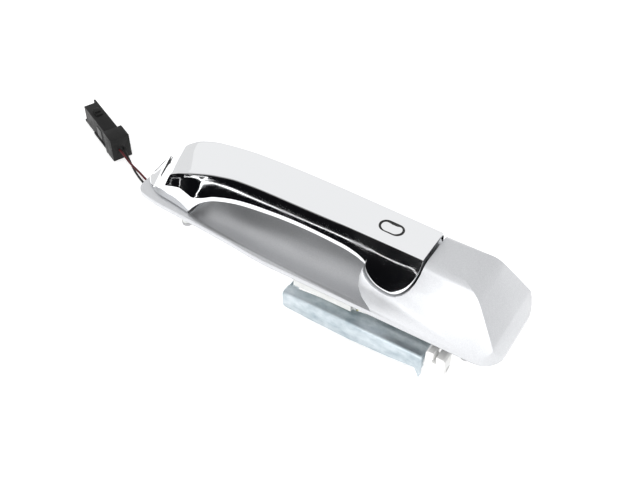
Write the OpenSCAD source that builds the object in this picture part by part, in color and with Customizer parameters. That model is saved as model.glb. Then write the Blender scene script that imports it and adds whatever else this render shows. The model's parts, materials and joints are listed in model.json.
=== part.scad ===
// Strap-type pull handle for a car door: painted base with a raised end
// housing, plated strap with an entry button, pull lever and wire pigtail.
//
// Frame: X runs along the handle, with the pivot end at -X. +Z points out
// of the door. Z = 0 is the face that seals against the door skin, and the
// origin is on that face, midway along the base.

/* [Base] */
// Distance from the origin to either end of the base
base_half_l = 136; // [134:0.5:138]
// Width of the base at its widest
base_w = 62; // [61:0.5:63]
// Height of the rim above the door skin
rim_h = 4.8; // [4.6:0.1:5]
// Width of the rim round the finger pocket
rim_w = 3; // [2.5:0.25:3.5]
// Depth of the finger pocket below the door skin
pocket_depth = 9; // [7:0.5:9]
// Height of the end housing
housing_h = 45; // [44:0.5:45.5]
// Wall thickness of the base cover
cover_wall = 2.2; // [2:0.1:2.4]

/* [Handle] */
// Highest point of the strap
strap_top = 50.6; // [50.6:0.1:51]
// Wall thickness of the plated shell
shell_wall = 2.2; // [2:0.1:2.4]
// Gap between the strap and the base at rest
seat_gap = 1.2; // [1:0.1:1.4]
// Length of the entry button
button_l = 13.5; // [13:0.5:14]
// Width of the entry button
button_w = 7; // [6.5:0.5:7.5]
// Diameter of the handle pin
handle_pin_d = 5; // [4.5:0.5:5.5]

/* [Pull lever] */
// Diameter of the lever pin
lever_pin_d = 5; // [4.5:0.5:5.5]
// Sheet thickness of the lever
lever_sheet = 2; // [1.8:0.1:2.2]
// Bore for the end of the latch rod
rod_d = 5; // [4.5:0.5:5.5]

/* [Fixing] */
// Thread diameter of the mounting studs
stud_d = 6; // [5:1:6]
// Distance between the two studs
stud_pitch = 174; // [172:1:176]

/* [Pigtail] */
// Diameter of each wire
wire_d = 1.7; // [1.6:0.1:1.8]
// Length of the connector
plug_l = 60; // [58:1:62]

/* [Hidden] */
$fn = 48;

// ---------- shape functions ----------

// Smooth curve through a list of [x, value] knots (cubic Hermite)
function knot_index(x, k, i = 0) =
    i >= len(k) - 2 || x < k[i + 1][0] ? i : knot_index(x, k, i + 1);
function rise(k, i) = (k[i + 1][1] - k[i][1]) / (k[i + 1][0] - k[i][0]);
function knot_slope(k, i) =
    i <= 0 ? rise(k, 0) :
    i >= len(k) - 1 ? rise(k, len(k) - 2) :
    rise(k, i - 1) * rise(k, i) <= 0 ? 0 :
    2 * rise(k, i - 1) * rise(k, i) / (rise(k, i - 1) + rise(k, i));
function hermite(t, a, b, ma, mb) =
    (2*t^3 - 3*t^2 + 1)*a + (t^3 - 2*t^2 + t)*ma + (3*t^2 - 2*t^3)*b + (t^3 - t^2)*mb;
function curve(x, k) =
    let (i = knot_index(x, k), w = k[i + 1][0] - k[i][0],
         t = min(max((x - k[i][0]) / w, 0), 1))
    hermite(t, k[i][1], k[i + 1][1], knot_slope(k, i) * w, knot_slope(k, i + 1) * w);

function unit(v) = v / norm(v);
// Points of one rounded corner b between neighbours a and c
function corner(a, b, c, r, n) =
    let (u = unit(a - b), w = unit(c - b), half = acos(u * w) / 2,
         reach = min(r / tan(half), 0.45 * min(norm(a - b), norm(c - b))),
         rr = reach * tan(half), m = b + unit(u + w) * rr / sin(half),
         p = b + u * reach, q = b + w * reach,
         a0 = atan2(p[1] - m[1], p[0] - m[0]),
         a1 = atan2(q[1] - m[1], q[0] - m[0]),
         d = a1 - a0 > 180 ? a1 - a0 - 360 : a1 - a0 < -180 ? a1 - a0 + 360 : a1 - a0)
    [for (i = [0:n]) m + rr * [cos(a0 + d * i / n), sin(a0 + d * i / n)]];
function rounded(p, r, n) =
    [for (i = [0:len(p) - 1])
        each corner(p[(i + len(p) - 1) % len(p)], p[i], p[(i + 1) % len(p)], r[i], n)];

// Closed solid through a list of rings of 3D points
module loft(rings) {
    n = len(rings[0]);
    last = len(rings) - 1;
    polyhedron(
        points = [for (ring = rings) each ring],
        faces = [
            [for (i = [0:n - 1]) i],
            for (j = [0:last - 1], i = [0:n - 1])
                let (a = j*n + i, b = j*n + (i + 1) % n)
                each [[a, a + n, b], [b, a + n, b + n]],
            [for (i = [n - 1:-1:0]) last*n + i]
        ],
        convexity = 6);
}

// ---------- body form shared by the strap and the housing ----------

// Half width of the form where it meets the rim
foot_half = [[-135, 9], [-132, 13], [-128, 16], [-124, 17.7], [-108, 19], [-91, 21.6],
             [-60, 24], [0, 27.5], [60, 30.5], [130, 30.5]];
// Offset of the front crease from the middle
crease_half = [[-135, 6], [-130, 9], [-122, 11], [-112, 12.5], [-100, 13.3], [-90, 13.5],
               [130, 13.5]];
// Height of the front crease
crease_z = [[-135, 7.4], [-127, 9.5], [-120.5, 16], [-111, 25], [-101, 31.5], [-80, 41],
            [-67, 45.7], [-51, 49.5], [-30, strap_top], [0, strap_top], [21, 49.8],
            [48, 48.4], [77, 47.4]];
// Height of the back edge
back_z = [[-135, 9], [-131.5, 15], [-124, 24.2], [-115, 33.5], [-108, 38.4], [-102, 41.6],
          [-86, 46.4], [-70, 48.7], [-54, 50], [-24, strap_top], [6, 50], [34, 49],
          [77, 47.4]];
form_z = 4;

// Lower edge of the strap: pad, arch and U-shaped foot
pad_z = rim_h + seat_gap;
arch = [[-92, pad_z], [-87.5, 11.9], [-82, 17.2], [-71, 23.7], [-50, 30.2], [-34, 32.4],
        [-19, 33.8], [3, 34.4], [25, 33.4], [36, 31.8], [42, 29.8]];
foot_x = 61.5;
foot_z = 19.5;
foot_left = 18.5;
foot_right = 15.6;
foot_rise_left = 10;
foot_rise_right = 27;
function ellipse_rise(d, h) = h * (1 - sqrt(max(0, 1 - d * d)));
function strap_low(x) =
    x < -92 ? pad_z :
    x < 43 ? curve(x, arch) :
    x < foot_x ? foot_z + ellipse_rise((foot_x - x) / foot_left, foot_rise_left) :
    foot_z + ellipse_rise((x - foot_x) / foot_right, foot_rise_right);

// Front or back face of the form at height z (side is -1 or 1)
function form_y(x, z, side) =
    let (top = side < 0 ? curve(x, crease_z) : curve(x, back_z),
         t = (top - z) / (top - form_z))
    side * (curve(x, crease_half) + t * (curve(x, foot_half) - curve(x, crease_half)));

strap_x = [-135, -134, -132.5, -130, -127, -123, -118, -112, -105, -98, -92.5, -90, -87.5,
           -84, -80, -75, -69, -60, -50, -36, -20, -4, 12, 25, 34, 40, 43, 44.5, 47, 51, 56,
           61.5, 66, 69.5, 72.2, 74.3, 75.8, 76.8, 77.1];

// Section of the strap, drawn d inside its faces; the lower edge drops by
// drop and the upper one lifts by lift
function strap_ring(x, d, drop, lift, n) =
    let (low = min(strap_low(x), curve(x, crease_z) - 1) - drop,
         front = curve(x, crease_z) - d + lift,
         back = curve(x, back_z) - d + lift,
         quad = [[form_y(x, low, -1) + d, low], [form_y(x, low, 1) - d, low],
                 [form_y(x, back, 1) - d, back], [form_y(x, front, -1) + d, front]])
    [for (p = rounded(quad, [1.6, 1.6, 3.6, 0.8], n)) [x, p[0], p[1]]];
module strap_form(d, drop, from, to, lift = 0, n = 4)
    loft([for (x = strap_x) if (x >= from && x <= to) strap_ring(x, d, drop, lift, n)]);

// ---------- layout ----------
gasket_t = 1;
left_end = 1;
skin_gap = 0.2;
core_inset = shell_wall + 2.6;
floor_z = -44;

// Half width of the base cover along its length
base_half = [[-base_half_l - left_end, base_w/2 - 15], [-129, base_w/2 - 10],
             [-114, base_w/2 - 8], [-88, base_w/2 - 6.4], [-53, base_w/2 - 3.4],
             [-26, base_w/2 - 0.7], [40, base_w/2], [base_half_l, base_w/2]];
base_steps = [-121, -114, -101, -88, -70, -53, -40, -26, 0, 40];
base_end_r = 16;
housing_end_r = 30;
tongue_r = 8;
function base_side(x) = curve(x, base_half);
// Plan of the base, drawn d inside its edge
function base_plan(d = 0, end_r = base_end_r) =
    let (from = -base_half_l - left_end + d, to = base_half_l - d,
         tip = base_side(-129) - 1.5 - d, half = base_w/2 - d,
         upper = concat(
             corner([from, 0], [from, tip], [-114, base_side(-114) - d], max(1, tongue_r - d), 5),
             [for (x = base_steps) if (x > from + 6) [x, base_side(x) - d]],
             corner([40, half], [to, half], [to, 0], max(1, end_r - d), 7)))
    concat(upper, [for (i = [len(upper) - 1:-1:0]) [upper[i][0], -upper[i][1]]]);

// Finger pocket: half width at the rim and depth below the rim
pocket_from = -91;
pocket_to = 58;
pocket_x = [-91, -88, -82, -72, -60, -40, -15, 15, 40, 52, 58];
pocket_fall = rim_h + pocket_depth;
pocket_deep = [[-91, 0.25 * pocket_fall], [-82, 0.6 * pocket_fall], [-60, pocket_fall],
               [52, pocket_fall], [58, 0.97 * pocket_fall]];
function pocket_side(x) = base_side(x) - rim_w;
// Ring of the bowl at x; grow widens and deepens it, lid is its upper edge
function pocket_ring(x, grow, lid) =
    concat(
        [for (t = [-1:0.2:1.001])
            [x, t * (pocket_side(x) + grow), rim_h - (curve(x, pocket_deep) + grow) * (1 - t * t)]],
        [[x, pocket_side(x) + grow, lid], [x, -pocket_side(x) - grow, lid]]);
module pocket(grow, lid)
    loft([for (x = pocket_x)
        let (at = x == pocket_from ? x - grow : x == pocket_to ? x + grow : x)
        [for (p = pocket_ring(x, grow, lid)) [at, p[1], p[2]]]]);

// Pivots: the handle's in the XZ plane, the lever's in the YZ plane
handle_pivot = [-128, -9];
lever_pivot = [-9, -21];
arm_half = 5.8;
lug_out = 10.4;
running_gap = 0.05;

// Carrier plate behind the cover
plate_top = -12;
plate_t = 2;
plate_low = plate_top - plate_t;
frame_in = 12;
frame_y = base_w/2 - frame_in;
screw_at = [[-102, -11], [-102, 11], [112, -15], [112, 15]];
screw_r = 2;
screw_head_r = 3.8;
stud_at = [[96 - stud_pitch, 13], [96, 13]];
stud_head_r = 5;
stud_foot = plate_low - 4;
grommet_at = [-110, 4.3];
lead_slot = [-133.8, -106];

// Pull lever and the leg that lifts it
lever_from = -11;
lever_to = 90;
lever_front = -30.5;
lever_top = -16;
lug_half = 5.5;
hub_r = 5.5;
leg_x = 62;
leg_half = 4;
lift_arm_tip = [15, -33];
lift_arm_r = 3;
bush_r = 3.5;
clip_bore = [-24, -23.5];
clip_barrel_r = 3.2;

// Entry button
button_at = [49.5, -1.5];
button_top = 48.8;
ring_t = 1.5;
dish_r = 14;
dish_depth = 1.4;
fit_gap = 0.15;
bumper_x = -97;
bumper_stem_r = 1.5;

// Handle screws
handle_screw_x = [-45, 15];
handle_screw_r = 1.5;
screw_seat = 36.7;

// Connector: wires enter at the rear, +X runs to its mouth
plug_at = [-209, 41.5];
plug_turn = 155;
plug_w = 11.5;
plug_h = 17;
cap_l = 14;
cap_w = 15.5;
cap_h = 20;
wire_gap = 3.4;
wire_h = 9;
wire_r = wire_d / 2;

// Routes of the two wires, from the grommet to the connector
route_black = [
    [-110, 2.6, -13], [-110, 2.6, -17], [-110.5, 3, -21], [-112.5, 4.3, -27],
    [-116.5, 6.8, -33], [-122.5, 9.8, -38], [-130, 12.7, -41.5], [-138, 15.2, -42.9],
    [-147, 17.8, -43.1], [-157, 20.5, -43.1], [-167, 23.3, -43.1], [-176, 26.4, -43.1],
    [-184, 30, -43.1], [-191, 33.8, -43], [-197, 37.3, -41.6], [-201.5, 39.7, -39],
    [-205, 41.5, -36.4], [-208.3, 43, -35], [-212.4, 44.9, -35], [-216.4, 46.8, -35]];
route_red = [
    [-110, 6, -13], [-110, 6, -17], [-110.4, 6.4, -21], [-112, 8, -27],
    [-115.5, 11, -33], [-121.5, 14.4, -38], [-129, 17.3, -41.5], [-137.5, 20, -42.9],
    [-147, 22.6, -43.1], [-157, 25, -43.1], [-167, 27.3, -43], [-176, 29.6, -42.2],
    [-184, 32.2, -41.2], [-191, 34.4, -40.7], [-197, 36.2, -39.8], [-202, 37.8, -38],
    [-206, 39, -36.1], [-209.7, 40, -35], [-213.8, 41.9, -35], [-217.9, 43.8, -35]];
// Route of the lead inside the handle, from the switch to the pivot end
lead_r = 1.3;
lead_path = concat(
    [[41.4, 3, 40.2], [36, 5.2, 42.5]],
    [for (x = [28, 12, -4, -20, -36, -50, -60, -69, -80])
        [x, 6.5, curve(x, crease_z) - 4.6]],
    [[-90, 6.2, 30], [-98, 5.6, 23.5], [-104, 5, 16.5], [-108, 4.6, 9],
     [-110, 4.3, 2], [-110, 4.3, -4], [-110, 4.3, -10.5]]);
lead_hole = [-108.5, 4.5];

// ---------- helpers ----------

module along_x(from, to)
    translate([from, 0, 0]) rotate([90, 0, 90]) linear_extrude(to - from) children();
module along_y(from, to)
    translate([0, to, 0]) rotate([90, 0, 0]) linear_extrude(to - from) children();
module along_z(from, to)
    translate([0, 0, from]) linear_extrude(to - from) children();
module bar_x(from, to, y, z, r)
    translate([from, y, z]) rotate([0, 90, 0]) cylinder(h = to - from, r = r);
module bar_y(from, to, x, z, r)
    translate([x, to, z]) rotate([90, 0, 0]) cylinder(h = to - from, r = r);
module bar_z(from, to, x, y, r)
    translate([x, y, from]) cylinder(h = to - from, r = r);
module block(from, to) translate(from) cube(to - from);
module slot_z(from, to, l, w) {
    for (s = [-1, 1]) translate([s * (l - w) / 2, 0, from]) cylinder(h = to - from, d = w);
    translate([-(l - w) / 2, -w / 2, from]) cube([l - w, w, to - from]);
}
module at_plug() translate([plug_at[0], plug_at[1], floor_z]) rotate([0, 0, plug_turn]) children();

// Smooth path through hand-placed points
function spline_at(p, i, t) =
    let (a = p[max(i - 1, 0)], b = p[i], c = p[i + 1], d = p[min(i + 2, len(p) - 1)])
    0.5 * (2*b + (c - a)*t + (2*a - 5*b + 4*c - d)*t^2 + (3*b - a - 3*c + d)*t^3);
function smooth(p, n) =
    concat([for (i = [0:len(p) - 2], j = [0:n - 1]) spline_at(p, i, j / n)], [p[len(p) - 1]]);
// Round tube along a path; guide is any direction the path never takes
module sweep(p, r, sides, guide)
    loft([for (i = [0:len(p) - 1])
        let (t = unit(p[min(i + 1, len(p) - 1)] - p[max(i - 1, 0)]),
             u = unit(cross(guide, t)), v = cross(t, u))
        [for (k = [0:sides - 1])
            p[i] + r * (cos(360 * k / sides) * u + sin(360 * k / sides) * v)]]);

// ---------- base ----------

// Side view of the housing, with the U-shaped seat for the strap's foot
module housing_side(inset = 0) {
    g = seat_gap + inset;
    left = 41.4 + inset;
    left_a = asin(min(1, (foot_x - left) / (foot_left + g)));
    polygon(concat(
        [[pocket_to + inset, gasket_t], [52 + inset, 6.5], [46 + inset, 11], [left + 0.6, 16.5]],
        inset > 0 ? [] : [[left - 0.4, 22]],
        [for (i = [6:-1:0]) let (a = left_a * i / 6)
            [foot_x - (foot_left + g) * sin(a), foot_z - g + foot_rise_left * (1 - cos(a))]],
        [for (a = [15:15:75])
            [foot_x + (foot_right + g) * sin(a), foot_z - g + foot_rise_right * (1 - cos(a))]],
        [[foot_x + foot_right + g + 0.3, housing_h - inset]],
        corner([78, housing_h - inset], [110, housing_h - inset],
               [base_half_l - 5 - inset, 15], 22, 7),
        corner([110, housing_h - inset], [base_half_l - 5 - inset, 15],
               [base_half_l - inset, rim_h], 12, 3),
        [[base_half_l - inset, rim_h], [base_half_l - inset, gasket_t]]));
}
module housing_section(inset = 0) {
    top = housing_h - inset;
    half = base_w/2 - inset;
    slope_y = -form_y(77, top, -1) - inset;
    polygon(rounded(
        [[-half, gasket_t], [half, gasket_t], [half, rim_h], [slope_y, top],
         [-slope_y, top], [-half, rim_h]],
        [0.5, 0.5, 0.5, 7, 7, 0.5], 5));
}
module housing(inset = 0)
    intersection() {
        along_y(-base_w, base_w) housing_side(inset);
        along_x(30, 150) housing_section(inset);
        hull() {
            linear_extrude(rim_h) polygon(base_plan(inset));
            along_z(18, 60) polygon(base_plan(inset + 0.5, housing_end_r));
        }
    }

module screw_boss(p) {
    bar_z(0, 15, p[0], p[1], 4.5);
    block([p[0] - 1, min(2 * p[1], p[1]), 0], [p[0] + 1, max(2 * p[1], p[1]), 15]);
}
module base_cover()
    color("silver") difference() {
        union() {
            translate([0, 0, gasket_t]) linear_extrude(rim_h - gasket_t) polygon(base_plan());
            pocket(cover_wall, rim_h);
            housing();
        }
        pocket(0, rim_h + 0.01);
        difference() {
            translate([0, 0, -0.5]) housing(cover_wall);
            for (p = screw_at) if (p[0] > 0) screw_boss(p);
        }
        block([lead_slot[0], -6.5, -5], [lead_slot[1], 6.5, 10]);
        block([leg_x - 9, -2, -20], [leg_x + 11, 20, 40]);
        block([leg_x - 9, -2, -20], [leg_x + 11, 26, form_z]);
        for (p = screw_at) bar_z(0, p[0] > 0 ? 12 : 4, p[0], p[1], screw_r);
        for (s = [-1, 1]) bar_z(3, 6, bumper_x, s * 12, bumper_stem_r);
    }

module carrier_frame()
    color("gainsboro") difference() {
        union() {
            along_z(plate_low, plate_top) polygon(base_plan(frame_in));
            difference() {
                along_z(plate_low, plate_top + 5) polygon(base_plan(frame_in));
                along_z(plate_low - 1, plate_top + 6) polygon(base_plan(frame_in + 1.6));
            }
            // stiffening wall above the pull lever, and the lever's lugs
            block([-4, -27.5, -8], [38, -25.9, -1]);
            block([-4, -27, -8], [38, -frame_y, -6.4]);
            block([-4, -frame_y - 1.6, plate_low], [38, -frame_y + 1.6, -6.4]);
            for (x = [lever_from + 2.5, lever_to - 6.5])
                difference() {
                    union() {
                        block([x, lever_pivot[0] - lug_half, lever_pivot[1]],
                              [x + 4, lever_pivot[0] + lug_half, plate_low + 1]);
                        bar_x(x, x + 4, lever_pivot[0], lever_pivot[1], lug_half);
                    }
                    bar_x(x - 1, x + 5, lever_pivot[0], lever_pivot[1], lever_pin_d / 2);
                }
            // lugs for the handle pin
            for (s = [-1, 1])
                block([handle_pivot[0] - 5, s < 0 ? -lug_out : 6.4, plate_low],
                      [-110, s < 0 ? -6.4 : lug_out, plate_top]);
            for (s = [-1, 1])
                difference() {
                    block([handle_pivot[0] - 5, s < 0 ? -lug_out : 6.4, plate_low],
                          [handle_pivot[0] + 5, s < 0 ? -6.4 : lug_out, -3]);
                    bar_y(-12, 12, handle_pivot[0], handle_pivot[1], handle_pin_d / 2);
                }
            for (p = screw_at) bar_z(plate_low, gasket_t, p[0], p[1], 3.6);
            for (p = stud_at) bar_z(stud_foot, plate_top, p[0], p[1], 6.5);
        }
        block([handle_pivot[0] - 6, -arm_half - 0.4, plate_low - 1],
              [handle_pivot[0] + 12.5, arm_half + 0.4, 0]);
        block([leg_x - 9, -3, plate_low - 1], [leg_x + 11, 27, 0]);
        block([lever_to + 0.6, -30, plate_low - 1], [107, -19, 0]);
        for (p = screw_at) bar_z(plate_low - 1, 5, p[0], p[1], screw_r + 0.1);
        for (p = stud_at) {
            bar_z(plate_low - 5, plate_top + 1, p[0], p[1], stud_d / 2 + 0.5);
            bar_z(plate_top, plate_top + 8, p[0], p[1], stud_head_r + 0.2);
        }
        for (s = [-1, 1])
            block([handle_pivot[0] - 5.5, s < 0 ? -16 : lug_out, plate_low - 1],
                  [handle_pivot[0] + 5.5, s < 0 ? -lug_out : 16, 0]);
        bar_z(plate_low - 1, plate_top + 1, grommet_at[0], grommet_at[1], 3.8);
    }
module carrier_screws()
    color("dimgray") for (p = screw_at) difference() {
        union() {
            bar_z(plate_low, 3.6, p[0], p[1], screw_r);
            bar_z(plate_low - 2.4, plate_low, p[0], p[1], screw_head_r);
        }
        translate([p[0], p[1], plate_low - 2.5]) cylinder(h = 1.6, d = 3.6, $fn = 6);
    }

module mounting_studs()
    color("silver") for (p = stud_at) {
        bar_z(floor_z, stud_foot, p[0], p[1], stud_d / 2);
        bar_z(stud_foot, plate_top, p[0], p[1], stud_d / 2 + 0.5);
        bar_z(plate_top, plate_top + 1.4, p[0], p[1], stud_head_r);
    }

module door_gasket()
    color("dimgray") linear_extrude(gasket_t) difference() {
        polygon(base_plan(0.6));
        polygon(base_plan(2.8));
    }

module rest_bumpers()
    color("dimgray") for (s = [-1, 1]) {
        bar_z(rim_h, pad_z - 0.1, bumper_x, s * 12, 3);
        bar_z(3, rim_h, bumper_x, s * 12, bumper_stem_r);
    }

module handle_pin()
    color("lightgrey") {
        bar_y(-lug_out, 12.2, handle_pivot[0], handle_pivot[1], handle_pin_d / 2);
        bar_y(-12, -lug_out, handle_pivot[0], handle_pivot[1], handle_pin_d / 2 + 1.6);
    }

module lever_pin()
    color("lightgrey") {
        bar_x(lever_from - 0.7, lever_to + 2.8, lever_pivot[0], lever_pivot[1], lever_pin_d / 2);
        bar_x(lever_from - 2.3, lever_from - 0.7, lever_pivot[0], lever_pivot[1],
              lever_pin_d / 2 + 1.6);
    }

module pin_clips()
    color("gray") {
        difference() {
            bar_x(lever_to + 0.8, lever_to + 1.6, lever_pivot[0], lever_pivot[1], 4.4);
            bar_x(lever_to, lever_to + 3, lever_pivot[0], lever_pivot[1], lever_pin_d / 2);
        }
        difference() {
            bar_y(10.5, 11.3, handle_pivot[0], handle_pivot[1], 4.4);
            bar_y(10, 12, handle_pivot[0], handle_pivot[1], handle_pin_d / 2);
        }
    }

module lever_spring() {
    turns = 7.25;
    coil_r = 5.2;
    from_x = 20;
    pitch = 1.9;
    coil = [for (a = [0:30:turns * 360])
        [from_x + pitch * a / 360, lever_pivot[0] + coil_r * cos(a), lever_pivot[1] - coil_r * sin(a)]];
    end_x = from_x + pitch * turns;
    path = concat(
        [[from_x, lever_pivot[0] + coil_r, plate_low - 0.9]],
        coil,
        [[end_x + 0.2, -18, -23.4], [end_x + 0.4, -26.5, -19.2]]);
    color("darkkhaki") sweep(path, 0.8, 6, [1, 0, 0]);
}

module wire_grommet()
    color("dimgray") difference() {
        union() {
            bar_z(plate_low, plate_top + 0.6, grommet_at[0], grommet_at[1], 3.8);
            bar_z(plate_low - 3, plate_low, grommet_at[0], grommet_at[1], 5);
        }
        for (route = [route_black, route_red])
            bar_z(plate_low - 4, route[0][2], route[0][0], route[0][1], wire_r);
    }

module wire_black() color("black") sweep(smooth(route_black, 2), wire_r, 8, [0.42, 0.9, 0.05]);
module wire_red() color("darkred") sweep(smooth(route_red, 2), wire_r, 8, [0.42, 0.9, 0.05]);

// ---------- connector ----------

module connector_body()
    color("black") at_plug() difference() {
        union() {
            block([10.2, -plug_w/2, 0], [plug_l, plug_w/2, plug_h]);
            block([plug_l - 22, -2.6, plug_h - 1], [plug_l - 14, 2.6, plug_h + 1.2]);
            block([plug_l - 19, -2.6, plug_h - 1], [plug_l - 14, 2.6, plug_h + 2.4]);
            block([16, plug_w/2 - 1, 0], [plug_l - 20, plug_w/2 + 1, 2]);
        }
        block([10, -plug_w/2 + 2, 2], [36, plug_w/2 - 2, plug_h - 2]);
        block([41, -plug_w/2 + 1.6, 1.6], [plug_l + 1, plug_w/2 - 1.6, plug_h - 1.6]);
        block([plug_l - 4, -plug_w/2 + 1.6, 1.6], [plug_l + 1, plug_w/2 + 1, plug_h + 1]);
        for (s = [-1, 1])
            block([35, s * wire_gap/2 - 0.9, wire_h - 0.6], [42, s * wire_gap/2 + 0.9, wire_h + 0.6]);
        block([24, plug_w/2 - 3, 4], [32, plug_w/2 + 1, 13]);
    }

module connector_cap()
    color("black") at_plug() difference() {
        block([0, -cap_w/2, 0], [cap_l, cap_w/2, cap_h]);
        block([4, -plug_w/2 - 0.1, -1], [cap_l + 1, plug_w/2 + 0.1, plug_h + 0.1]);
        for (s = [-1, 1]) bar_x(-1, 5, s * wire_gap/2, wire_h, wire_r);
    }

module connector_seal()
    color("gray") at_plug() difference() {
        block([4, -plug_w/2, 0.2], [9.8, plug_w/2, plug_h]);
        for (s = [-1, 1]) bar_x(3, 11, s * wire_gap/2, wire_h, wire_r);
    }

module connector_lock()
    color("gray") at_plug() block([24.1, plug_w/2 - 2.9, 4.1], [31.9, plug_w/2 + 0.6, 12.9]);

module connector_terminals()
    color("gold") at_plug() for (s = [-1, 1])
        block([10.5, s * wire_gap/2 - 0.8, wire_h - 0.5],
              [plug_l - 7, s * wire_gap/2 + 0.8, wire_h + 0.5]);

// ---------- handle ----------

module shell_boss(x) bar_z(40, 48.4, x, 0, 3.2);
module at_button() translate([button_at[0], button_at[1], 0]) children();

module handle_shell()
    color("lightgrey") difference() {
        strap_form(0, 0, -140, 80);
        difference() {
            strap_form(shell_wall, 4, -130, 75.8);
            for (x = handle_screw_x) shell_boss(x);
        }
        for (x = handle_screw_x) bar_z(35, 47, x, 0, handle_screw_r);
        at_button() slot_z(30, 60, button_l + 2 * ring_t, button_w + 2 * ring_t);
    }

module handle_core()
    color("dimgray") difference() {
        union() {
            difference() {
                strap_form(shell_wall + skin_gap, -0.3, -127, 74.3);
                strap_form(core_inset, -3, -118, 72.2, 6, 2);
            }
            for (x = handle_screw_x) bar_z(34, 39, x, 0, 6);
            along_y(-arm_half, arm_half) union() {
                translate(handle_pivot) circle(r = 4.5);
                polygon([[handle_pivot[0] - 1.5, 5.2], [handle_pivot[0] - 1.5, 2],
                         [handle_pivot[0] - 4.4, -9], [handle_pivot[0] + 3, -12.5],
                         [-117, -5], [-114, 8], [-122, 9]]);
            }
            along_x(leg_x - leg_half, leg_x + leg_half)
                polygon([[4, 24], [4, -3], [12, -10], [21.2, -19], [21.2, -37.2], [15.5, -37.2],
                         [15.5, -40], [24.6, -40], [24.6, -16], [16, -8], [16, 24]]);
        }
        bar_y(-10, 10, handle_pivot[0], handle_pivot[1], handle_pin_d / 2 + running_gap);
        for (x = handle_screw_x) {
            bar_z(39.6, 60, x, 0, 3.4);
            bar_z(30, 40, x, 0, handle_screw_r + 0.15);
            bar_z(20, screw_seat, x, 0, 3.3);
        }
        at_button() block([-10.2, -6.5, 34], [10.2, 6.5, 60]);
        bar_z(-1, 12, lead_hole[0], lead_hole[1], lead_r + 0.9);
    }

module handle_screws()
    color("gray") for (x = handle_screw_x) difference() {
        union() {
            bar_z(screw_seat, 46, x, 0, handle_screw_r);
            bar_z(screw_seat - 1.8, screw_seat, x, 0, 3);
        }
        translate([x, 0, screw_seat - 2]) cylinder(h = 1.4, d = 3, $fn = 6);
    }

module switch_module()
    color("black") at_button() {
        block([-8, -5.6, 37], [8, 4, 43]);
        bar_z(43, 43.1, 0, 0, 2);
    }

module switch_lead()
    color("black") sweep(lead_path, lead_r, 8, [0, 1, 0]);

module button_gasket()
    color("black") at_button() difference() {
        slot_z(45, button_top - 0.4, button_l + 2 * ring_t, button_w + 2 * ring_t);
        slot_z(44, 60, button_l + 2 * fit_gap, button_w + 2 * fit_gap);
    }

module entry_button()
    color("silver") at_button() difference() {
        slot_z(44, button_top, button_l, button_w);
        translate([0, 0, button_top + dish_r - dish_depth]) sphere(r = dish_r, $fn = 96);
    }

// ---------- pull lever ----------

module pull_lever() {
    low = [[lever_to, -33], [lever_to - 1.1, -36.5], [lever_to - 2.2, -33], [lever_to - 4.5, -28.4],
           [68, -30.2], [38, -31.6], [8, -30.6], [-9, -29.4], [lever_from, -28]];
    sheet_back = lever_front + lever_sheet;
    color("lightsteelblue") difference() {
        union() {
            intersection() {
                along_x(lever_from, lever_to) difference() {
                    polygon(rounded([[lever_front, -40], [-10, -40], [-10, lever_top],
                                     [lever_front, lever_top]], [0.1, 0.1, 0.1, 1.8], 4));
                    polygon([[sheet_back, -41], [0, -41], [0, lever_top - lever_sheet],
                             [sheet_back, lever_top - lever_sheet]]);
                }
                along_y(-32, 0) polygon(concat([[lever_from, -14], [lever_to, -14]], low));
                along_z(-40, -10)
                    polygon([[lever_from, -31], [lever_to, -31], [lever_to, -17], [50, -17],
                             [26, -20.3], [lever_from, -23]]);
            }
            for (x = [lever_from, lever_to - lever_sheet]) along_x(x, x + lever_sheet) lever_ear();
            along_x(leg_x - 2, leg_x + 2) lift_arm();
        }
        bar_x(lever_from - 1, lever_from + 3, lever_pivot[0], lever_pivot[1], bush_r);
        bar_x(lever_to - 3, lever_to + 1, lever_pivot[0], lever_pivot[1], bush_r);
        bar_x(leg_x - 3, leg_x + 3, lever_pivot[0], lever_pivot[1], lever_pin_d / 2 + 0.3);
        bar_x(lever_to - 3, lever_to + 1, clip_bore[0], clip_bore[1], clip_barrel_r);
    }
}
module lever_ear() {
    translate(lever_pivot) circle(r = hub_r);
    polygon([[lever_front + 0.4, lever_top - 1], [-17, lever_top - 1],
             [lever_pivot[0], lever_pivot[1] + hub_r], [lever_pivot[0], lever_pivot[1] - hub_r],
             [-18, -28], [lever_front + 0.4, -28]]);
}
// Straight bar between two points, r either side of the middle
module bar_between(p, q, r) {
    across = r * [p[1] - q[1], q[0] - p[0]] / norm(q - p);
    polygon([p + across, q + across, q - across, p - across]);
}
module lift_arm() {
    translate(lever_pivot) circle(r = hub_r);
    translate(lift_arm_tip) circle(r = lift_arm_r);
    bar_between(lever_pivot, lift_arm_tip, lift_arm_r);
    polygon([[lever_front + 1, lever_top - 1], [-18, lever_top - 1],
             [lever_pivot[0], lever_pivot[1] + hub_r], [lever_pivot[0], lever_pivot[1] - hub_r],
             [lever_front + 1, -28]]);
}

module lever_bushes()
    color("ivory") difference() {
        union() {
            bar_x(lever_from, lever_from + lever_sheet + 0.2, lever_pivot[0], lever_pivot[1], bush_r);
            bar_x(lever_from - 0.6, lever_from, lever_pivot[0], lever_pivot[1], 4.6);
            bar_x(lever_to - lever_sheet - 0.2, lever_to, lever_pivot[0], lever_pivot[1], bush_r);
            bar_x(lever_to, lever_to + 0.6, lever_pivot[0], lever_pivot[1], 4.6);
        }
        bar_x(lever_from - 5, lever_to + 5, lever_pivot[0], lever_pivot[1],
              lever_pin_d / 2 + running_gap);
    }

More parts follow.
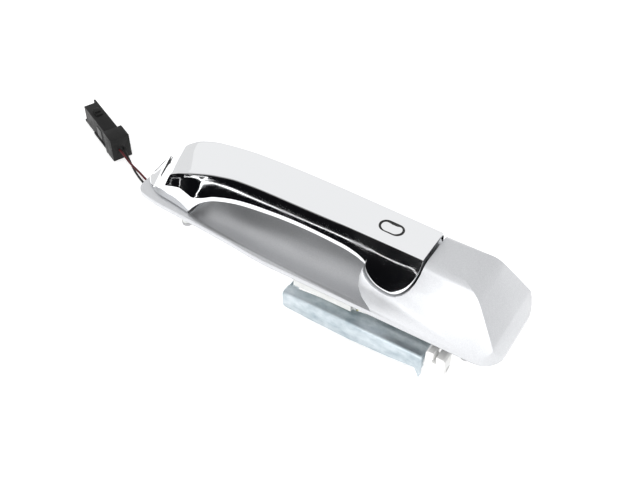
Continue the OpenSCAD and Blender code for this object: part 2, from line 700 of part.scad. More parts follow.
module rod_clip() {
    mid = 98.5;
    half = 6.5;
    color("white") difference() {
        union() {
            along_y(-30, -20.5) difference() {
                union() {
                    translate([mid, -24.3]) circle(r = half);
                    polygon([[mid - half, -24.3], [mid - half, -9.5], [mid - half + 1.5, -8],
                             [mid - 1.4, -8], [mid - 1.4, -10], [mid + 5, -10], [mid + half, -11.5],
                             [mid + half, -24.3]]);
                }
                translate([mid - 0.4, -15]) circle(r = 1.7);
                polygon([[mid - 1.4, -5], [mid - 1.4, -15], [mid + 0.6, -15], [mid + 0.6, -5]]);
            }
            bar_x(lever_to - lever_sheet - 1.2, mid, clip_bore[0], clip_bore[1], clip_barrel_r);
            bar_x(lever_to - lever_sheet - 1.2, lever_to - lever_sheet, clip_bore[0], clip_bore[1], 4);
            bar_x(lever_to, mid, clip_bore[0], clip_bore[1], 4.2);
        }
        bar_x(lever_to - 6, 110, clip_bore[0], clip_bore[1], rod_d / 2);
    }
}

base_cover();
carrier_frame();
carrier_screws();
mounting_studs();
door_gasket();
rest_bumpers();
handle_pin();
lever_pin();
pin_clips();
lever_spring();
wire_grommet();
wire_black();
wire_red();
connector_body();
connector_cap();
connector_seal();
connector_lock();
connector_terminals();
handle_shell();
handle_core();
handle_screws();
switch_module();
switch_lead();
button_gasket();
entry_button();
pull_lever();
lever_bushes();
rod_clip();
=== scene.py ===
import json
import math
import bpy
import bmesh
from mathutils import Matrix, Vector


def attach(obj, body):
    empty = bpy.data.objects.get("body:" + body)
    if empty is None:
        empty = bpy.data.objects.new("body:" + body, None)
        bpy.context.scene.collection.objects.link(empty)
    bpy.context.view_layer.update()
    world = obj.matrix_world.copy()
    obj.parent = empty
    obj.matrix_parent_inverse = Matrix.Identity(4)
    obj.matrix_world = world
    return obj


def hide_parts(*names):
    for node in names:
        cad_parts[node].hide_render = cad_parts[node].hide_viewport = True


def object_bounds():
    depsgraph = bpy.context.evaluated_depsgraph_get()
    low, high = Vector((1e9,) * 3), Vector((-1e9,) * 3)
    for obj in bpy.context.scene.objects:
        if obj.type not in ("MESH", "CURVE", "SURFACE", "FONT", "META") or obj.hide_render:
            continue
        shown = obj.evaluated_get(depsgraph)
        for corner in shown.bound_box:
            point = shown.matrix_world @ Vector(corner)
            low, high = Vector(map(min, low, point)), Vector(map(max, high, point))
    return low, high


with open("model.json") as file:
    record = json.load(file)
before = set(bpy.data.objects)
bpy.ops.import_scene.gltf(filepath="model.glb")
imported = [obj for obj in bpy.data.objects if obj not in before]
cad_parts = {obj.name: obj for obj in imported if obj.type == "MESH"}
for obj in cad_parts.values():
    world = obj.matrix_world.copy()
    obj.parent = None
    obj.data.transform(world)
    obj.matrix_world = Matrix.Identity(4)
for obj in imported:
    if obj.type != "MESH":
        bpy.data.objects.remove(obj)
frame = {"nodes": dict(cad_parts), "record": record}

MM = 0.001
cad_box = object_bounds()
FLOOR = cad_box[0][2]
nodes = frame["nodes"]


# ---------------------------------------------------------------- camera
def place_camera():
    az, el, away = math.radians(32), math.radians(45), 0.637
    back = Vector((math.sin(az) * math.cos(el), -math.cos(az) * math.cos(el), math.sin(el)))
    data = bpy.data.cameras.new("camera")
    data.lens = 54.84
    data.sensor_width = 36
    data.clip_start = 0.01
    cam = bpy.data.objects.new("camera", data)
    bpy.context.scene.collection.objects.link(cam)
    cam.location = Vector((-0.0069, 0.0088, 0.0)) + back * away
    cam.rotation_mode = "QUATERNION"
    cam.rotation_quaternion = (-back).to_track_quat("-Z", "Y")
    bpy.context.scene.camera = cam


place_camera()


# ---------------------------------------------------------------- helpers
def link(name, mesh):
    o = bpy.data.objects.new(name, mesh)
    bpy.context.scene.collection.objects.link(o)
    return o


def mesh_of(name, points, faces):
    """A mesh from points given in millimetres."""
    me = bpy.data.meshes.new(name)
    me.from_pydata([tuple(c * MM for c in p) for p in points], [], faces)
    me.update()
    return me


def smooth(me, angle):
    """Smooth shading, kept sharp where faces turn by more than the angle in degrees."""
    me.shade_smooth()
    me.set_sharp_from_angle(angle=math.radians(angle))


def settle(o):
    """Put the modifiers into the mesh."""
    dg = bpy.context.evaluated_depsgraph_get()
    done = bpy.data.meshes.new_from_object(o.evaluated_get(dg))
    o.modifiers.clear()
    o.data = done
    return o


def finish_piece(o, body, slot, replaced):
    """Give a piece its material, body and slot, and let it stand for a CAD node."""
    o.data.materials.clear()
    o.data.materials.append(MATS[slot])
    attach(o, body)
    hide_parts(replaced)
    return o


def smooth_path(p, n):
    """Catmull-Rom curve through the points, as the wires follow in the CAD."""
    out = []
    for i in range(len(p) - 1):
        a, b, c, d = p[max(i - 1, 0)], p[i], p[i + 1], p[min(i + 2, len(p) - 1)]
        for j in range(n):
            t = j / n
            out.append(tuple(
                0.5 * (2 * b[k] + (c[k] - a[k]) * t + (2 * a[k] - 5 * b[k] + 4 * c[k] - d[k]) * t * t
                       + (3 * b[k] - a[k] - 3 * c[k] + d[k]) * t ** 3) for k in range(3)))
    return out + [tuple(p[-1])]


def tube(name, path, r, sides):
    """Round tube along a path, in millimetres, with a frame carried along it."""
    pts = [Vector(p) for p in path]
    rings = []
    u = None
    for i, p in enumerate(pts):
        t = (pts[min(i + 1, len(pts) - 1)] - pts[max(i - 1, 0)]).normalized()
        if u is None:
            u = t.orthogonal().normalized()
        u = (u - t * u.dot(t)).normalized()
        v = t.cross(u)
        rings.append([p + r * (math.cos(2 * math.pi * k / sides) * u
                               + math.sin(2 * math.pi * k / sides) * v) for k in range(sides)])
    points = [q for ring in rings for q in ring]
    faces = [(j * sides + i, j * sides + (i + 1) % sides,
              (j + 1) * sides + (i + 1) % sides, (j + 1) * sides + i)
             for j in range(len(rings) - 1) for i in range(sides)]
    faces.append(tuple(range(sides - 1, -1, -1)))
    faces.append(tuple((len(rings) - 1) * sides + i for i in range(sides)))
    me = mesh_of(name, points, faces)
    smooth(me, 60)
    return link(name, me)


# ---------------------------------------------------------------- cords
ROUTE_BLACK = [
    (-110, 2.6, -13), (-110, 2.6, -17), (-110.5, 3, -21), (-112.5, 4.3, -27),
    (-116.5, 6.8, -33), (-122.5, 9.8, -38), (-130, 12.7, -41.5), (-138, 15.2, -42.9),
    (-147, 17.8, -43.1), (-157, 20.5, -43.1), (-167, 23.3, -43.1), (-176, 26.4, -43.1),
    (-184, 30, -43.1), (-191, 33.8, -43), (-197, 37.3, -41.6), (-201.5, 39.7, -39),
    (-205, 41.5, -36.4), (-208.3, 43, -35), (-212.4, 44.9, -35), (-216.4, 46.8, -35)]
ROUTE_RED = [
    (-110, 6, -13), (-110, 6, -17), (-110.4, 6.4, -21), (-112, 8, -27),
    (-115.5, 11, -33), (-121.5, 14.4, -38), (-129, 17.3, -41.5), (-137.5, 20, -42.9),
    (-147, 22.6, -43.1), (-157, 25, -43.1), (-167, 27.3, -43), (-176, 29.6, -42.2),
    (-184, 32.2, -41.2), (-191, 34.4, -40.7), (-197, 36.2, -39.8), (-202, 37.8, -38),
    (-206, 39, -36.1), (-209.7, 40, -35), (-213.8, 41.9, -35), (-217.9, 43.8, -35)]
WIRE_R = 0.85
WIRE_STEPS, WIRE_SIDES = 6, 14


def cord_piece(name, route, node):
    path = smooth_path(route, WIRE_STEPS)
    o = finish_piece(tube(name, path, WIRE_R, WIRE_SIDES), "base", node, node)


# ---------------------------------------------------------------- materials
class Mat:
    """A node material, with short calls for its noise, ramps and bumps."""

    def __init__(self, name, color, rough=0.5, metallic=0.0, coat=0.0, coat_rough=0.05,
                 specular=0.5):
        self.mat = bpy.data.materials.new(name)
        self.mat.use_nodes = True
        self.tree = self.mat.node_tree
        self.bsdf = self.tree.nodes["Principled BSDF"]
        ins = self.bsdf.inputs
        ins["Base Color"].default_value = (*color, 1)
        ins["Roughness"].default_value = rough
        ins["Metallic"].default_value = metallic
        ins["Coat Weight"].default_value = coat
        ins["Coat Roughness"].default_value = coat_rough
        ins["Specular IOR Level"].default_value = specular
        self.coord = self.tree.nodes.new("ShaderNodeTexCoord").outputs["Object"]
        self.normal = None

    def node(self, kind, **values):
        n = self.tree.nodes.new(kind)
        for k, v in values.items():
            if k in n.inputs:
                n.inputs[k].default_value = v
            else:
                setattr(n, k, v)
        return n

    def join(self, a, b):
        self.tree.links.new(a, b)

    def stretched(self, scale):
        m = self.node("ShaderNodeMapping")
        m.inputs["Scale"].default_value = scale
        self.join(self.coord, m.inputs["Vector"])
        return m.outputs["Vector"]

    def noise(self, scale, detail=4.0, rough=0.5, stretch=None):
        n = self.node("ShaderNodeTexNoise", Scale=scale, Detail=detail, Roughness=rough)
        self.join(self.stretched(stretch) if stretch else self.coord, n.inputs["Vector"])
        return n.outputs["Fac"]

    def cells(self, scale, out="Distance"):
        n = self.node("ShaderNodeTexVoronoi", Scale=scale)
        self.join(self.coord, n.inputs["Vector"])
        return n.outputs[out]

    def range(self, fac, low, high, a=0.3, b=0.7):
        n = self.node("ShaderNodeMapRange")
        n.inputs["From Min"].default_value = a
        n.inputs["From Max"].default_value = b
        n.inputs["To Min"].default_value = low
        n.inputs["To Max"].default_value = high
        self.join(fac, n.inputs["Value"])
        return n.outputs["Result"]

    def ramp(self, fac, stops):
        n = self.node("ShaderNodeValToRGB")
        e = n.color_ramp.elements
        while len(e) < len(stops):
            e.new(0.5)
        for k, (at, c) in enumerate(stops):
            e[k].position = at
            e[k].color = (*c, 1)
        self.join(fac, n.inputs["Fac"])
        return n.outputs["Color"]

    def color(self, out):
        self.join(out, self.bsdf.inputs["Base Color"])
        return self

    def rough(self, out):
        self.join(out, self.bsdf.inputs["Roughness"])
        return self

    def bump(self, height, strength, distance):
        n = self.node("ShaderNodeBump", Strength=strength, Distance=distance)
        self.join(height, n.inputs["Height"])
        if self.normal is not None:
            self.join(self.normal, n.inputs["Normal"])
        self.normal = n.outputs["Normal"]
        self.join(self.normal, self.bsdf.inputs["Normal"])
        return self


def silver_paint():
    m = Mat("silver_paint", (0.66, 0.67, 0.69), 0.38, 0.6, coat=0.4, coat_rough=0.08)
    flake = m.cells(5200, "Color")
    m.color(m.ramp(flake, [(0.0, (0.54, 0.55, 0.57)), (0.5, (0.63, 0.64, 0.66)),
                           (1.0, (0.74, 0.75, 0.77))]))
    m.rough(m.range(m.noise(60, 3), 0.33, 0.42))
    m.bump(m.cells(5200), 0.10, 0.00003)
    m.bump(m.noise(900, 3), 0.04, 0.00004)
    return m.mat


def chrome():
    m = Mat("chrome_plate", (0.93, 0.94, 0.955), 0.04, 1.0)
    m.rough(m.range(m.noise(45, 5, 0.6), 0.025, 0.06))
    m.bump(m.noise(220, 2), 0.015, 0.00006)
    return m.mat


def black_plastic(name, tone=0.022, rough=0.42, grain=3600, strength=0.25, specular=0.45):
    m = Mat(name, (tone, tone, tone * 1.06), rough, 0.0, specular=specular)
    m.color(m.ramp(m.noise(80, 4), [(0.3, (tone * 0.8,) * 3), (0.7, (tone * 1.35,) * 3)]))
    m.rough(m.range(m.noise(140, 4), rough - 0.07, rough + 0.1))
    m.bump(m.cells(grain), strength, 0.00004)
    return m.mat


def rubber(name, tone=0.03):
    m = Mat(name, (tone, tone, tone * 1.05), 0.7, 0.0, specular=0.3)
    m.color(m.ramp(m.noise(300, 5), [(0.3, (tone * 0.75,) * 3), (0.75, (tone * 1.5,) * 3)]))
    m.bump(m.noise(1800, 3), 0.3, 0.00005)
    return m.mat


def wire_skin(name, color):
    m = Mat(name, color, 0.4, 0.0, specular=0.3)
    m.color(m.ramp(m.noise(260, 3), [(0.3, tuple(c * 0.75 for c in color)),
                                     (0.7, tuple(min(1, c * 1.3) for c in color))]))
    m.bump(m.noise(700, 3), 0.12, 0.00005)
    return m.mat


def zinc_sheet():
    m = Mat("lever_zinc", (0.62, 0.68, 0.72), 0.42, 0.85)
    m.color(m.ramp(m.noise(70, 8, 0.65, (1, 1.6, 1.6)),
                   [(0.30, (0.34, 0.42, 0.47)), (0.46, (0.50, 0.57, 0.61)),
                    (0.62, (0.64, 0.70, 0.74)), (0.76, (0.80, 0.84, 0.87))]))
    m.rough(m.range(m.noise(120, 6), 0.30, 0.55))
    m.bump(m.noise(900, 4, 0.6, (0.15, 1, 1)), 0.18, 0.00008)
    m.bump(m.noise(260, 5), 0.22, 0.0002)
    return m.mat


def steel(name, color, rough=0.32):
    m = Mat(name, color, rough, 1.0)
    m.color(m.ramp(m.noise(160, 5), [(0.3, tuple(c * 0.82 for c in color)),
                                     (0.7, tuple(min(1, c * 1.12) for c in color))]))
    m.rough(m.range(m.noise(240, 4), rough - 0.08, rough + 0.12))
    m.bump(m.noise(2200, 3), 0.15, 0.00004)
    return m.mat


def nylon(name, color):
    m = Mat(name, color, 0.42)
    m.color(m.ramp(m.noise(120, 4), [(0.3, tuple(c * 0.95 for c in color)), (0.7, color)]))
    m.bump(m.noise(1400, 3), 0.12, 0.00006)
    return m.mat


def filled_plastic():
    m = Mat("carrier_grey", (0.62, 0.63, 0.62), 0.5)
    m.color(m.ramp(m.noise(400, 6, 0.6, (0.4, 1, 1)),
                   [(0.3, (0.56, 0.57, 0.56)), (0.7, (0.68, 0.69, 0.68))]))
    m.rough(m.range(m.noise(300, 4), 0.42, 0.6))
    m.bump(m.noise(1500, 4, 0.6, (0.3, 1, 1)), 0.2, 0.00006)
    return m.mat


MATS = {
    "silver_paint": silver_paint(),
    "chrome_plate": chrome(),
    "core_black": black_plastic("core_black"),
    "connector_black": black_plastic("connector_black", 0.009, 0.45, 2600, 0.3, 0.2),
    "carrier_grey": filled_plastic(),
    "lever_zinc": zinc_sheet(),
    "screw_steel": steel("screw_steel", (0.42, 0.42, 0.43)),
    "stud_steel": steel("stud_steel", (0.50, 0.50, 0.48)),
    "pin_steel": steel("pin_steel", (0.74, 0.75, 0.76), 0.22),
    "clip_steel": steel("clip_steel", (0.38, 0.38, 0.39)),
    "spring_zinc": steel("spring_zinc", (0.70, 0.68, 0.38), 0.3),
    "terminal_brass": steel("terminal_brass", (0.80, 0.64, 0.32), 0.25),
    "gasket_rubber": rubber("gasket_rubber"),
    "bumper_rubber": rubber("bumper_rubber", 0.035),
    "grommet_rubber": rubber("grommet_rubber", 0.04),
    "seal_grey": rubber("seal_grey", 0.10),
    "lock_grey": black_plastic("lock_grey", 0.07, 0.45),
    "bush_nylon": nylon("bush_nylon", (0.80, 0.79, 0.74)),
    "clip_nylon": nylon("clip_nylon", (0.90, 0.90, 0.89)),
    "wire_black": wire_skin("wire_black", (0.008, 0.008, 0.008)),
    "wire_red": wire_skin("wire_red", (0.07, 0.005, 0.008)),
}
SLOT_OF = {s["node"]: s["material_slot"] for s in frame["record"]["subparts"]}
# Every CAD node gets its own material; those that a finer piece replaces
# are hidden by that piece later.
for name, o in nodes.items():
    o.data.materials.clear()
    o.data.materials.append(MATS[SLOT_OF[name]])


# ---------------------------------------------------------------- CAD copies with worked edges
WELD, SLIVER = 2e-6, 1e-6
FLAT_ANGLE, EDGE_ANGLE, SHADE_ANGLE = 1.0, 30, 32
STRAP_SHADE = 42


def worked(node, body, edge):
    """A copy of a CAD node with welded, rounded and evenly shaded edges, which stands for it."""
    me = nodes[node].data.copy()
    me.name = node + "_piece"
    bm = bmesh.new()
    bm.from_mesh(me)
    bmesh.ops.remove_doubles(bm, verts=bm.verts, dist=WELD)
    bmesh.ops.dissolve_degenerate(bm, dist=SLIVER, edges=bm.edges)
    bmesh.ops.dissolve_limit(bm, angle_limit=math.radians(FLAT_ANGLE), verts=bm.verts,
                             edges=bm.edges)
    bm.to_mesh(me)
    bm.free()
    o = link(me.name, me)
    if edge:
        b = o.modifiers.new("edge", "BEVEL")
        b.width = edge * MM
        b.segments = 2
        b.limit_method = "ANGLE"
        b.angle_limit = math.radians(EDGE_ANGLE)
        b.use_clamp_overlap = True
        settle(o)
    smooth(o.data, SHADE_ANGLE)
    return finish_piece(o, body, SLOT_OF[node], node)


BODY_OF = {n: b for b, ns in frame["record"]["behaviour"]["bodies"].items() for n in ns}
for node, edge in (
        ("base_cover", 0.5), ("carrier_frame", 0.3), ("carrier_screws", 0.15),
        ("mounting_studs", 0.25), ("rest_bumpers", 0.2), ("door_gasket", 0.12),
        ("handle_pin", 0.3), ("lever_pin", 0.3), ("pin_clips", 0.1), ("wire_grommet", 0.3),
        ("connector_body", 0.3), ("connector_cap", 0.4), ("connector_seal", 0.2),
        ("connector_lock", 0.2), ("connector_terminals", 0.15), ("handle_core", 0.0),
        ("handle_screws", 0.15), ("switch_module", 0.2), ("button_gasket", 0.1),
        ("entry_button", 0.25), ("pull_lever", 0.25), ("lever_bushes", 0.15), ("rod_clip", 0.4)):
    worked(node, BODY_OF[node], edge)
cord_piece("black_wire", ROUTE_BLACK, "wire_black")
cord_piece("red_wire", ROUTE_RED, "wire_red")


# ---------------------------------------------------------------- shape of the strap
FOOT_HALF = [(-135, 9), (-132, 13), (-128, 16), (-124, 17.7), (-108, 19), (-91, 21.6),
             (-60, 24), (0, 27.5), (60, 30.5), (130, 30.5)]
CREASE_HALF = [(-135, 6), (-130, 9), (-122, 11), (-112, 12.5), (-100, 13.3), (-90, 13.5),
               (130, 13.5)]
CREASE_Z = [(-135, 7.4), (-127, 9.5), (-120.5, 16), (-111, 25), (-101, 31.5), (-80, 41),
            (-67, 45.7), (-51, 49.5), (-30, 50.6), (0, 50.6), (21, 49.8), (48, 48.4), (77, 47.4)]
BACK_Z = [(-135, 9), (-131.5, 15), (-124, 24.2), (-115, 33.5), (-108, 38.4), (-102, 41.6),
          (-86, 46.4), (-70, 48.7), (-54, 50), (-24, 50.6), (6, 50), (34, 49), (77, 47.4)]
ARCH = [(-92, 6), (-87.5, 11.9), (-82, 17.2), (-71, 23.7), (-50, 30.2), (-34, 32.4),
        (-19, 33.8), (3, 34.4), (25, 33.4), (36, 31.8), (42, 29.8)]
LIP_Z = [(-135, 6.6), (-128, 7.6), (-122, 11.5), (-115, 17), (-106, 21.8), (-98, 23.4),
         (-92, 22), (-88, 20.6), (-82, 22.2), (-70, 28.2), (-50, 34.4), (-34, 36.6), (-5, 38.2),
         (25, 37.2), (36, 35.4), (42, 33.2)]
FLARE = [(-135, 0), (-127, 0.3), (-120, 1.4), (-110, 2.8), (-98, 2.9), (-90, 2.0), (-82, 0.8),
         (-70, 0.3), (77, 0.3)]
CREASE_R = [(-135, 1.6), (-124, 3), (-110, 4), (-95, 4.5), (-80, 5.5), (0, 5), (30, 2.6),
            (60, 1.4), (77, 1.2)]
FORM_Z = 4
PAD_Z = 6
FOOT_X, FOOT_Z, FOOT_L, FOOT_R = 61.5, 19.5, 18.5, 15.6
PAD_END, ARCH_END = -92, 43
WALL = 2.3
ROLL = 2.4


def knot_slope(k, i):
    def rise(j):
        return (k[j + 1][1] - k[j][1]) / (k[j + 1][0] - k[j][0])
    if i <= 0:
        return rise(0)
    if i >= len(k) - 1:
        return rise(len(k) - 2)
    a, b = rise(i - 1), rise(i)
    return 0 if a * b <= 0 else 2 * a * b / (a + b)


def curve(x, k):
    i = 0
    while i < len(k) - 2 and x >= k[i + 1][0]:
        i += 1
    w = k[i + 1][0] - k[i][0]
    t = min(max((x - k[i][0]) / w, 0), 1)
    return ((2 * t**3 - 3 * t * t + 1) * k[i][1] + (t**3 - 2 * t * t + t) * knot_slope(k, i) * w
            + (3 * t * t - 2 * t**3) * k[i + 1][1] + (t**3 - t * t) * knot_slope(k, i + 1) * w)


def strap_low(x):
    if x < PAD_END:
        return PAD_Z
    if x < ARCH_END:
        return curve(x, ARCH)
    d, rise = ((FOOT_X - x) / FOOT_L, 10) if x < FOOT_X else ((x - FOOT_X) / FOOT_R, 27)
    return FOOT_Z + rise * (1 - math.sqrt(max(0, 1 - d * d)))


def lip_z(x):
    """Top of the upright band that runs along the lower front edge."""
    low, top = strap_low(x), curve(x, CREASE_Z)
    want = curve(x, LIP_Z) if x < 42 else low + 2.8 - min(1.2, (x - 42) * 0.12)
    return min(max(want, low + 0.4), 0.35 * low + 0.65 * top)


def form_y(x, z, side):
    """Front (-1) or back (+1) face of the form, gently crowned."""
    top = curve(x, CREASE_Z if side < 0 else BACK_Z)

    def plain(h):
        t = (top - h) / (top - FORM_Z)
        crown = 1.2 * max(0, t) * max(0, 1 - t)
        return curve(x, CREASE_HALF) + t * (curve(x, FOOT_HALF) - curve(x, CREASE_HALF)) + crown

    y = plain(z)
    if side < 0:
        lip = lip_z(x)
        if z >= lip:
            y += curve(x, FLARE) * max(0, (top - z) / max(0.5, top - lip))
        else:
            at_lip = plain(lip) + curve(x, FLARE)
            spread = min(1, max(0, (-80 - x) / 12))
            s = (lip - z) / max(0.5, lip - PAD_Z)
            y = at_lip + spread * s * (plain(PAD_Z) - at_lip)
    return side * y


def corner(a, b, c, r, n):
    a, b, c = Vector(a), Vector(b), Vector(c)
    u, w = (a - b).normalized(), (c - b).normalized()
    half = math.acos(max(-1, min(1, u.dot(w)))) / 2
    reach = min(r / math.tan(half), 0.45 * min((a - b).length, (c - b).length))
    rr = reach * math.tan(half)
    m = b + (u + w).normalized() * rr / math.sin(half)
    p, q = b + u * reach, b + w * reach
    a0, a1 = math.atan2(p.y - m.y, p.x - m.x), math.atan2(q.y - m.y, q.x - m.x)
    d = a1 - a0
    d += -2 * math.pi if d > math.pi else 2 * math.pi if d < -math.pi else 0
    return [m + rr * Vector((math.cos(a0 + d * i / n), math.sin(a0 + d * i / n)))
            for i in range(n + 1)]


SIDE_STEPS, TOP_STEPS = 12, 14


def strap_outer(x):
    """Open section from the underside's front edge, round the top, to its back edge."""
    zc, zb = curve(x, CREASE_Z), curve(x, BACK_Z)
    low = min(strap_low(x), zc - 1)
    lip = min(max(lip_z(x), low + 0.3), zc - 0.4)
    fl, bl = (form_y(x, low, -1), low), (form_y(x, low, 1), low)
    lp = (form_y(x, lip, -1), lip)
    bt, ft = (form_y(x, zb, 1), zb), (form_y(x, zc, -1), zc)
    rim_f = Vector((fl[0] + ROLL, low + 0.02))
    rim_b = Vector((bl[0] - ROLL, low + 0.02))
    arc_fl = corner(bl, fl, lp, 0.7, 5)
    arc_lip = corner(fl, lp, ft, 0.8, 4)
    arc_ft = corner(lp, ft, bt, curve(x, CREASE_R), 8)
    arc_bt = corner(ft, bt, bl, 3.6, 8)
    arc_bl = corner(bt, bl, fl, 1.9, 6)

    def up_side(a, b, side):
        n = SIDE_STEPS
        out = []
        for i in range(1, n):
            z = a.y + (b.y - a.y) * i / n
            y0 = a.x + (b.x - a.x) * i / n
            y1 = form_y(x, z, side)
            fade = min(1, 4 * i / n, 4 * (n - i) / n)
            out.append(Vector((y0 + (y1 - y0) * fade, z)))
        return out

    def over_top(a, b):
        out = []
        for i in range(1, TOP_STEPS):
            t = i / TOP_STEPS
            crown = 1.6 * t * (1 - t) * min(1, (b.x - a.x) / 20)
            out.append(Vector((a.x + (b.x - a.x) * t, a.y + (b.y - a.y) * t + crown)))
        return out

    pts = [rim_f] + arc_fl + arc_lip
    pts += up_side(arc_lip[-1], arc_ft[0], -1) + arc_ft
    pts += over_top(arc_ft[-1], arc_bt[0]) + arc_bt
    pts += list(reversed(up_side(arc_bl[0], arc_bt[-1], 1))) + arc_bl
    return pts + [rim_b]


def strap_inner(x):
    """The same way round, inside the plated wall."""
    zc, zb = curve(x, CREASE_Z), curve(x, BACK_Z)
    low = min(strap_low(x), zc - 1)
    top_f, top_b = max(zc - WALL, low + 0.2), max(zb - WALL, low + 0.2)
    return [Vector((form_y(x, low, -1) + ROLL, low + 0.02)),
            Vector((form_y(x, top_f, -1) + WALL, top_f)),
            Vector((form_y(x, top_b, 1) - WALL, top_b)),
            Vector((form_y(x, low, 1) - ROLL, low + 0.02))]


def stations():
    """Positions along X of the strap's sections, closer together where it curves."""
    xs = [-135, -134.8, -134.4, -133.8, -133]
    x = -132.0
    while x < 42.5:
        xs.append(x)
        x += 1.0 if x < -100 else 1.5
    xs += [FOOT_X - FOOT_L * math.cos(math.radians(a)) for a in range(0, 90, 5)]
    xs += [FOOT_X + FOOT_R * math.sin(math.radians(a)) for a in range(0, 91, 5)]
    return xs


def strap_shell():
    """The strap's plated skin, as an outer and an inner sheet joined round their edges."""
    xs = stations()
    outer = [[(x, p.x, p.y) for p in strap_outer(x)] for x in xs]
    held = [min(max(x, -130.5), 75.9) for x in xs]
    inner = [[(x, p.x, p.y) for p in strap_inner(x)] for x in held]
    points, faces = [], []
    n, m = len(outer[0]), len(inner[0])
    per = n + m
    for a, b in zip(outer, inner):
        points += a + b
    for j in range(len(xs) - 1):
        for i in range(n - 1):
            a = j * per + i
            faces.append((a, a + 1, a + 1 + per, a + per))
        for i in range(m - 1):
            a = j * per + n + i
            faces.append((a, a + per, a + 1 + per, a + 1))
        a = j * per
        faces.append((a + n, a, a + per, a + n + per))
        faces.append((a + n - 1, a + per - 1, a + 2 * per - 1, a + n - 1 + per))
    last = (len(xs) - 1) * per
    faces.append(tuple(reversed(range(n))))
    faces.append(tuple(last + i for i in range(n)))
    faces.append(tuple(n + i for i in range(m)))
    faces.append(tuple(reversed([last + n + i for i in range(m)])))
    me = mesh_of("strap_skin", points, faces)
    o = link("strap_skin", me)
    bm = bmesh.new()
    bm.from_mesh(me)
    bmesh.ops.remove_doubles(bm, verts=bm.verts, dist=1e-6)
    bmesh.ops.recalc_face_normals(bm, faces=bm.faces)
    bm.to_mesh(me)
    bm.free()
    return o


def cut_slot(o, at, length, width, low, high):
    """Cut a round-ended slot straight down through a piece."""
    steps = 16
    r, half = width / 2, (length - width) / 2
    plan = []
    for cx, start in ((half, -90), (-half, 90)):
        for i in range(steps + 1):
            a = math.radians(start + 180 * i / steps)
            plan.append((at[0] + cx + r * math.cos(a), at[1] + r * math.sin(a)))
    n = len(plan)
    points = [(x, y, low) for x, y in plan] + [(x, y, high) for x, y in plan]
    faces = [tuple(range(n - 1, -1, -1)), tuple(range(n, 2 * n))]
    faces += [(i, (i + 1) % n, n + (i + 1) % n, n + i) for i in range(n)]
    tool = link("slot_tool", mesh_of("slot_tool", points, faces))
    b = o.modifiers.new("slot", "BOOLEAN")
    b.operation = "DIFFERENCE"
    b.solver = "EXACT"
    b.object = tool
    settle(o)
    bpy.data.objects.remove(tool)


strap = strap_shell()
cut_slot(strap, (49.5, -1.5), 16.5, 10, 30, 60)
smooth(strap.data, STRAP_SHADE)
finish_piece(strap, "handle", "chrome_plate", "handle_shell")


# ---------------------------------------------------------------- studio
def studio_material(name, color, emit=0.0):
    mat = bpy.data.materials.new(name)
    mat.use_nodes = True
    ins = mat.node_tree.nodes["Principled BSDF"].inputs
    ins["Base Color"].default_value = (*color, 1)
    ins["Roughness"].default_value = 0.9
    ins["Specular IOR Level"].default_value = 0.0
    ins["Emission Color"].default_value = (1, 1, 1, 1)
    ins["Emission Strength"].default_value = emit
    return mat


def plane(name, corners, mat):
    me = bpy.data.meshes.new(name)
    me.from_pydata(corners, [], [(0, 1, 2, 3)])
    o = link(name, me)
    me.materials.append(mat)
    return o


def gloss_only(o):
    """Seen in reflections and nowhere else."""
    o.visible_camera = False
    o.visible_diffuse = False
    o.visible_shadow = False
    o.visible_transmission = False


GROUND = FLOOR - 0.0002
plane("floor", [(x, y, GROUND) for x, y in ((-6, -6), (6, -6), (6, 6), (-6, 6))],
      studio_material("floor", (0.92, 0.92, 0.92), 0.45))

# A dark card low in front of the strap, as a studio flag gives plated parts their black edge;
# it slopes up and away, and a graded card carries on above it to white
CARD_X = (-1.2, 0.015)
CARD_NEAR = (-0.110, FLOOR + 0.001)
CARD_FAR = (-0.320, 0.060)
CARD_TOP = (-0.350, 0.200)


def card(name, near, far, mat):
    """A reflection-only card between two (y, z) lines."""
    left, right = CARD_X
    gloss_only(plane(name, [(left, *near), (right, *near), (right, *far), (left, *far)], mat))


def graded(name, low, high):
    """Emission that climbs from nothing to white with height."""
    m = Mat(name, (0, 0, 0), 1.0, specular=0.0)
    split = m.node("ShaderNodeSeparateXYZ")
    m.join(m.coord, split.inputs["Vector"])
    m.bsdf.inputs["Emission Color"].default_value = (1, 1, 1, 1)
    m.join(m.range(split.outputs["Z"], 0.0, 0.92, low, high), m.bsdf.inputs["Emission Strength"])
    return m.mat


# A pale grey card off to the left tones the rounded pivot end down from the white floor
side = plane("side", [(-1.3, -1.6, FLOOR), (-1.3, 1.6, FLOOR), (-1.5, 1.6, 0.5), (-1.5, -1.6, 0.5)],
             studio_material("side", (0, 0, 0), 0.78))
gloss_only(side)
card("flag", CARD_NEAR, CARD_FAR, studio_material("flag", (0.004, 0.004, 0.005)))
card("fade", CARD_FAR, CARD_TOP, graded("fade", CARD_FAR[1], CARD_TOP[1]))


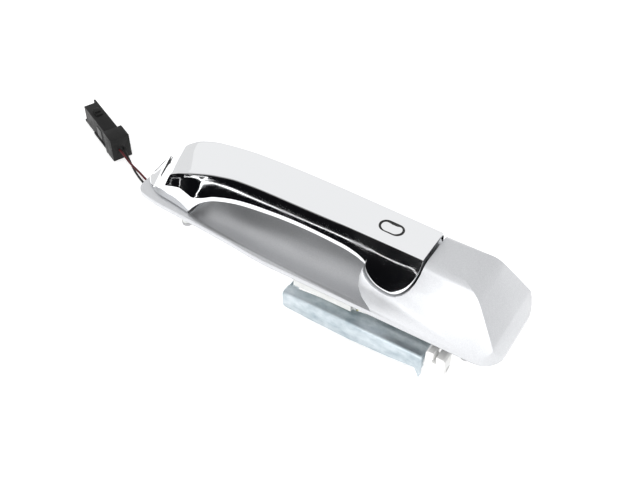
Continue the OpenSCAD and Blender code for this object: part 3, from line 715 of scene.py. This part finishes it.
def mirrored(x, z):
    """Where the card is seen in the strap's front face at (x, z), in metres."""
    d = 0.5
    across = Vector((2 * d, form_y(x + d, z, -1) - form_y(x - d, z, -1), 0))
    up = Vector((0, form_y(x, z + d, -1) - form_y(x, z - d, -1), 2 * d))
    n = across.cross(up).normalized()
    p = Vector((x, form_y(x, z, -1), z)) * MM
    cam = bpy.context.scene.camera.location
    ray = (p - cam).normalized()
    ray = ray - 2 * ray.dot(n) * n
    flat = Vector((0, CARD_FAR[1] - CARD_NEAR[1], CARD_NEAR[0] - CARD_FAR[0]))
    at = Vector((0, CARD_NEAR[0], CARD_NEAR[1]))
    return p + ray * ((at - p).dot(flat) / ray.dot(flat)), flat.normalized()


LINE_Z = [(-108, 25.2), (-98, 29.8), (-90, 33.2), (-80, 36), (-66, 38.4), (-50, 39.6),
          (-20, 40.2), (20, 40.6), (50, 40), (76, 39.4)]


def strip_light(name, stations, width):
    """A thin lit strip over the card that shows as a line along the strap."""
    points = []
    for x, z in stations:
        p, up = mirrored(x, z)
        along = Vector((0, CARD_FAR[0] - CARD_NEAR[0], CARD_FAR[1] - CARD_NEAR[1])).normalized()
        half = along * width / 2 * min(1, 0.3 + (x + 108) / 20, 0.55 + max(0, -40 - x) / 30)
        points += [p + up * 0.001 - half, p + up * 0.001 + half]
    faces = [(2 * i, 2 * i + 1, 2 * i + 3, 2 * i + 2) for i in range(len(stations) - 1)]
    me = bpy.data.meshes.new(name)
    me.from_pydata(points, [], faces)
    o = link(name, me)
    me.materials.append(studio_material(name, (0, 0, 0), 2.2))
    gloss_only(o)


strip_light("strip", [(x, curve(x, LINE_Z)) for x in range(-108, 77, 4)], 0.0032)


def softbox(name, toward, away, size, power):
    data = bpy.data.lights.new(name, "AREA")
    data.shape = "RECTANGLE"
    data.size, data.size_y = size
    data.energy = power
    o = bpy.data.objects.new(name, data)
    bpy.context.scene.collection.objects.link(o)
    d = Vector(toward).normalized()
    o.location = d * away
    o.rotation_mode = "QUATERNION"
    o.rotation_quaternion = d.to_track_quat("Z", "Y")


softbox("front", (-0.30, -0.92, 0.17), 1.2, (1.4, 0.4), 6.5)
world = bpy.data.worlds.new("world")
bpy.context.scene.world = world
world.use_nodes = True
world.node_tree.nodes["Background"].inputs["Color"].default_value = (1, 1, 1, 1)
world.node_tree.nodes["Background"].inputs["Strength"].default_value = 0.9
bpy.context.scene.view_settings.view_transform = "Standard"
